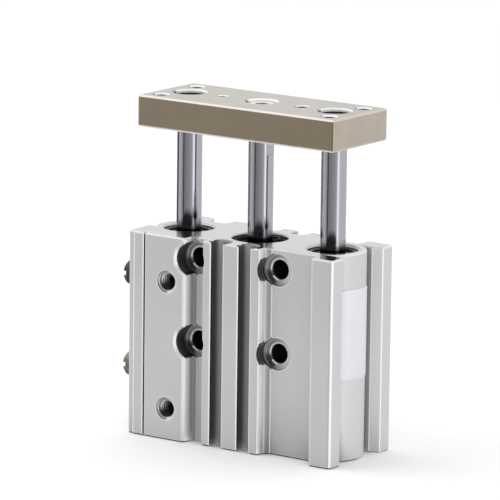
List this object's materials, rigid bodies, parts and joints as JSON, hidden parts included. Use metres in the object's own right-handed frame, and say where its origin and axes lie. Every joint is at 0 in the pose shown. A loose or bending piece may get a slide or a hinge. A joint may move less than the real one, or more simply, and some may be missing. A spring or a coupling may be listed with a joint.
{
  "type": "guided pneumatic cylinder",
  "caption": "Compact guided air cylinder: slotted aluminium block with ball-bushed guide rods beside the piston rod, joined by a tool plate that slides out and in.",
  "frame": {"origin": "centre of the housing's base, midway between the four base taps", "axes": "+Z along the rods towards the tool plate, +X along the wide face, -Y is the front face with the air ports"},
  "size_m": [0.0616, 0.025, 0.0816],
  "materials": {
    "anodised_body": "satin clear anodised",
    "rod_cover_alloy": "dark anodised",
    "head_cover_alloy": "turned",
    "seal_rubber": "matte black",
    "bumper_rubber": "matte brown urethane",
    "spring_steel": "phosphated",
    "bolt_steel": "bright nickel plated",
    "black_plug": "black oxide",
    "nickel_plug": "nickel plated",
    "gasket": "matte",
    "label_film": "blank silver-white film",
    "plated_plate": "ground, electroless nickel plated",
    "hard_chrome": "ground and polished",
    "piston_alloy": "turned",
    "magnet": "plastic-bonded ferrite",
    "wear_resin": "acetal",
    "bearing_steel": "hardened and ground",
    "cage_resin": "black resin"
  },
  "bodies": {
    "housing": {"housing": "anodised_body", "rod_cover": "rod_cover_alloy", "head_cover": "head_cover_alloy", "rod_seal": "seal_rubber", "rod_cover_o_ring": "seal_rubber", "head_cover_o_ring": "seal_rubber", "rod_cover_snap_ring": "spring_steel", "head_cover_snap_ring": "spring_steel", "side_plug_upper": "black_plug", "side_plug_lower": "nickel_plug", "plug_gaskets": "gasket", "name_label": "label_film", "bushing_balls_left": "bearing_steel", "bushing_spacer_left": "bearing_steel", "bushing_sleeve_upper_left": "bearing_steel", "ball_cage_upper_left": "cage_resin", "bushing_sleeve_lower_left": "bearing_steel", "ball_cage_lower_left": "cage_resin", "bushing_balls_right": "bearing_steel", "bushing_spacer_right": "bearing_steel", "bushing_sleeve_upper_right": "bearing_steel", "ball_cage_upper_right": "cage_resin", "bushing_sleeve_lower_right": "bearing_steel", "ball_cage_lower_right": "cage_resin"},
    "slide": {"tool_plate": "plated_plate", "piston_rod": "hard_chrome", "piston": "piston_alloy", "piston_nut": "bolt_steel", "piston_seal": "seal_rubber", "piston_magnet": "magnet", "piston_wear_ring": "wear_resin", "bumper_upper": "bumper_rubber", "bumper_lower": "bumper_rubber", "piston_rod_bolt": "bolt_steel", "guide_rod_bolts": "bolt_steel", "guide_rod_left": "hard_chrome", "guide_rod_right": "hard_chrome"}
  },
  "joints": [
    {"name": "stroke", "type": "slide", "parent": "housing", "child": "slide", "axis": [0, 0, 1], "range_m": [-0.02, 0]}
  ]
}
